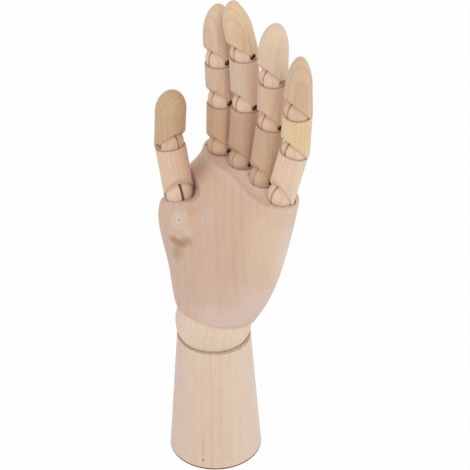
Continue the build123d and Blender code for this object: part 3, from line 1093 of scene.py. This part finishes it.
@dataclass
class Studio:
    """Pale floor, soft light and the camera.

    Attributes:
        azimuth: how far the camera stands round towards the little finger, in degrees.
        away_mm: the camera's distance from the foot's axis, level.
        height_mm: the camera's height.
        pitch: how far it looks down, in radians.
        yaw: how far it looks to the right of the axis, in radians.
        roll: its turn about its view line, in radians.
        lens_mm: focal length.
        sensor_mm: width of the sensor.
        view_m: the nearest and the farthest thing it sees.
        floor_mm: side of the floor.
        paper: colour of the floor's white paper.
        glow: share of plain white in the paper as it is seen; the rest shows the shadow.
        sky: colour of the light from all round.
        sky_level: its strength.
        aim_mm: height of the point that the lamps face.
        lamps: the softboxes.
    """

    azimuth: float = 50.0
    away_mm: float = 839.16
    height_mm: float = 695.86
    pitch: float = 0.5746
    yaw: float = 0.0158
    roll: float = -0.0104
    lens_mm: float = 132.6
    sensor_mm: float = 36.0
    view_m: Pair = (0.05, 50.0)
    floor_mm: float = 5000.0
    paper: str = "#f6f6f6"
    glow: float = 0.94
    sky: str = "#fdfdff"
    sky_level: float = 0.62
    aim_mm: float = 150.0
    lamps: tuple[Softbox, ...] = (
        Softbox("key_softbox", (1.15, -0.75, 1.35), 0.9, 11.5),
        Softbox("fill_softbox", (-0.9, -1.1, 0.8), 1.0, 4.0),
        Softbox("right_edge_softbox", (0.85, 1.0, 0.7), 0.8, 3.5),
    )

    def build(self) -> None:
        """Make the floor, the world, the lamps and the camera."""
        self.floor()
        self.world()
        for lamp in self.lamps:
            lamp.build(Vector((0, 0, self.aim_mm * MM)))
        self.camera()

    def floor(self) -> None:
        """A flat square just under the felt, white to the camera and keeping the shadow."""
        half = self.floor_mm * MM / 2
        corners = np.array([(-half, -half, 0), (half, -half, 0), (half, half, 0), (-half, half, 0)])
        mesh = bpy.data.meshes.new("studio_floor")
        mesh.from_pydata(corners.tolist(), [], [(0, 1, 2, 3)])
        sheet = linked("studio_floor", mesh)
        material, tree = new_tree("floor_white_paper")
        share = add(tree, "Math", {"operation": "MULTIPLY"}, {0: seen_directly(tree), 1: self.glow})[0]
        paper = add(tree, "BsdfDiffuse", {}, {"Color": linear(self.paper)})[0]
        white = add(tree, "Emission", {}, {"Color": linear("#ffffff")})[0]
        mixed = add(tree, "MixShader", {}, {0: share, 1: paper, 2: white})[0]
        add(tree, "OutputMaterial", {}, {"Surface": mixed})
        mesh.materials.append(material)

    def world(self) -> None:
        """Even white light from all round, white to the camera."""
        world = bpy.data.worlds.new("studio_world")
        world.use_nodes = True
        tree = world.node_tree
        tree.nodes.clear()
        level = add(tree, "MapRange", {}, {
            "Value": seen_directly(tree), "To Min": self.sky_level, "To Max": 1.0})[0]
        sky = add(tree, "Background", {}, {"Color": linear(self.sky), "Strength": level})[0]
        add(tree, "OutputWorld", {}, {"Surface": sky})
        bpy.context.scene.world = world

    def camera(self) -> None:
        """A long lens at the photograph's place; its axes come from yaw, pitch and roll."""
        turn = Matrix.Rotation(radians(self.azimuth), 3, "Z")
        look = Vector((sin(self.yaw) * cos(self.pitch), cos(self.yaw) * cos(self.pitch),
                       -sin(self.pitch)))
        right = look.cross(Vector((0, 0, 1))).normalized()
        up = right.cross(look)
        rolled_right = cos(self.roll) * right + sin(self.roll) * up
        rolled_up = cos(self.roll) * up - sin(self.roll) * right
        axes = turn @ Matrix((rolled_right, rolled_up, -look)).transposed()
        spot = turn @ Vector((0, -self.away_mm, self.height_mm)) * MM
        data = bpy.data.cameras.new("photo_camera")
        data.lens = self.lens_mm
        data.sensor_width = self.sensor_mm
        data.clip_start, data.clip_end = self.view_m
        camera = linked("photo_camera", data)
        camera.matrix_world = Matrix.Translation(spot) @ axes.to_4x4()
        bpy.context.scene.camera = camera


PALM_MARKS = (
    # Yellow wood on the little finger's side, and a lilac edge above the wrist ball.
    Mark((35.0, 12.0, 158.0), (19.0, 26.0, 48.0), "#dfc6a4", 0.55),
    Mark((20.0, -9.0, 108.0), (34.0, 24.0, 15.0), "#dcc7bc", 0.5),
    # Painted shade in the hollow beside the thumb, partly browner wood.
    Mark((-25.0, 11.0, 173.0), (9.0, 14.0, 22.0), "#b48765", 0.7),
    Mark((-15.5, -1.8, 162.6), (6.0, 6.0, 7.0), "#c39a78", 0.45),
    # The knot on the thumb's mound: pale wood round it, its ripples, its core and its lower right.
    Mark((-20.9, -7.3, 156.2), (9.0, 9.0, 9.0), "#dfcdc0", 0.6),
    Mark((-20.9, -7.3, 156.2), (8.5, 8.5, 8.5), "#ad8666", 0.28, 2.6),
    Mark((-20.9, -7.3, 156.2), (1.3, 1.3, 2.2), "#5e4433", 0.6),
    Mark((-13.6, -7.6, 151.5), (5.5, 5.0, 4.5), "#e0c9b6", 0.5),
    # The brown stain under the knot: an arc of three spots and its tail.
    Mark((-21.6, -11.9, 144.6), (5.5, 6.0, 3.6), "#9f734c", 0.62),
    Mark((-16.2, -10.8, 143.9), (8.0, 7.0, 3.8), "#94653e", 0.66),
    Mark((-12.4, -9.0, 146.5), (6.0, 6.0, 3.8), "#a5744f", 0.52),
    Mark((-17.0, -12.4, 138.0), (6.5, 6.0, 9.0), "#a87c56", 0.55),
    # A warm and a lilac drift right of the knot.
    Mark((-10.3, -3.3, 158.2), (6.0, 7.0, 13.0), "#dcb78f", 0.32),
    Mark((-3.9, 1.2, 162.0), (6.0, 7.0, 13.0), "#cdbab0", 0.42),
    # Painted light low on the right, along the right edge and on the top round the knuckles.
    Mark((32.0, 4.0, 118.0), (24.0, 28.0, 26.0), "#e2ccbd", 0.5),
    Mark((40.0, 26.0, 140.0), (15.0, 18.0, 52.0), "#e2d0c6", 0.6),
    Mark((8.0, 28.0, 183.0), (55.0, 17.0, 16.0), "#eddccf", 0.8),
)
FOOT_MARKS = (
    # Painted reflection of the white surroundings, lilac and pale, along the left and the right edge.
    Mark((-7.0, -24.0, 45.0), (19.0, 13.0, 85.0), "#d3bbb0", 0.5),
    Mark((20.0, 15.0, 45.0), (10.0, 11.0, 85.0), "#dccbc1", 0.5),
    # A pin knot just above the felt, and the streak that runs up from it.
    Mark((15.1, -23.3, 6.6), (1.2, 1.2, 2.2), "#5d4230", 0.7),
    Mark((14.8, -22.9, 19.0), (1.1, 1.3, 14.0), "#bb9c82", 0.5),
)


def hand_digits(steel: Material) -> list[Digit]:
    """Choose the wood of the four fingers and the thumb; no two blanks are alike.

    Args:
        steel: the pins' and springs' metal.

    Returns:
        The digits from the index to the thumb.
    """
    warm_ball = BallFinish("#d6b89c", cut=Cut.FLAT)
    dim_ball = BallFinish("#c3a78d", cut=Cut.FLAT)
    pale_ball = BallFinish("#dec6ae", cut=Cut.FLAT)
    # Balls with brown shade painted low where they sit in the socket.
    socket_shaded_ball = replace(warm_ball, socket_shade=0.85)
    socket_shaded_dim = replace(dim_ball, socket_shade=0.5)
    # Balls whose pin holes are painted pale, as light in place of the hole's shade.
    lit_hole_ball = replace(pale_ball, hole_light_and_shade="#d8bfa3")
    lit_hole_warm = replace(warm_ball, hole_light_and_shade="#cfb08f")
    return [
        Digit("index",
              [BarrelFinish("#cdaa87", turn=40), BarrelFinish("#d3b79c", cut=Cut.FLAT, turn=10)],
              WoodFinish("#d5bb9f", turn=-60),
              [socket_shaded_ball, pale_ball, pale_ball], TipForm(lean_mm=1.7, taper=0.05), steel),
        Digit("middle",
              [BarrelFinish("#bf9f82", cut=Cut.FLAT, turn=200), BarrelFinish("#d2b79f", turn=90)],
              WoodFinish("#dcbf9b", cut=Cut.FLAT, turn=30, ring_show=0.15),
              [socket_shaded_dim, pale_ball, pale_ball], TipForm(planed=0.42), steel),
        Digit("ring",
              [BarrelFinish("#c5a588", turn=130), BarrelFinish("#d0b59b", cut=Cut.FLAT, turn=20)],
              WoodFinish("#dcc6ac", cut=Cut.QUARTER, ring_show=0.1),
              [dim_ball, warm_ball, lit_hole_ball], TipForm(lean_mm=1.5), steel),
        Digit("little",
              [BarrelFinish("#e0c8ae", cut=Cut.QUARTER, ring_show=0.1),
               BarrelFinish("#e0c49b", blush="#dcb789", turn=70, ring_show=0.12)],
              WoodFinish("#cfb293", cut=Cut.FLAT, turn=60, ring_show=0.2),
              [lit_hole_ball, lit_hole_ball, lit_hole_warm],
              TipForm(lean_mm=0.5, taper=0.26, begin=0.1), steel),
        Digit("thumb",
              [BarrelFinish("#dcbea2", cut=Cut.QUARTER, ring_show=0.1)],
              WoodFinish("#c7a784", blush="#cc9a66", cut=Cut.HEART, ring_mm=2.2, ring_show=0.24,
                         turn=15),
              [lit_hole_ball, lit_hole_warm], TipForm(lean_mm=1.3, shorter_mm=2.6), steel),
    ]


def main() -> None:
    """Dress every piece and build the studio."""
    logging.basicConfig(level=logging.INFO)
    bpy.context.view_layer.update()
    bpy.context.scene.view_settings.view_transform = "Standard"
    steel = SteelFinish().material("steel_drawn_wire")
    foot_wood = FootFinish("#dcc5b1", blush="#d9b9a2", cut=Cut.ACROSS, ring_mm=5.2, ring_show=0.08,
                           pore_show=0.11, marks=FOOT_MARKS)
    wrist_wood = WoodFinish("#dfc9b4", blush="#dcbfa6", cut=Cut.ACROSS, ring_mm=3.4, ring_show=0.07,
                            pore_show=0.08)
    palm_wood = WoodFinish("#cbae9a", blush="#c9a48d", honey="#d4b798", cut=Cut.RADIAL, ring_mm=5.6,
                           ring_show=0.09, blush_show=0.45, honey_show=0.4, pore_show=0.09,
                           drift_mm=24.0, marks=PALM_MARKS)
    Foot(foot_wood, FeltPad(FeltFinish()), steel).dress()
    Wrist(wrist_wood, steel).dress()
    Palm(palm_wood, steel).dress()
    for digit in hand_digits(steel):
        digit.dress()
    Studio().build()


if __name__ == "__main__":
    main()
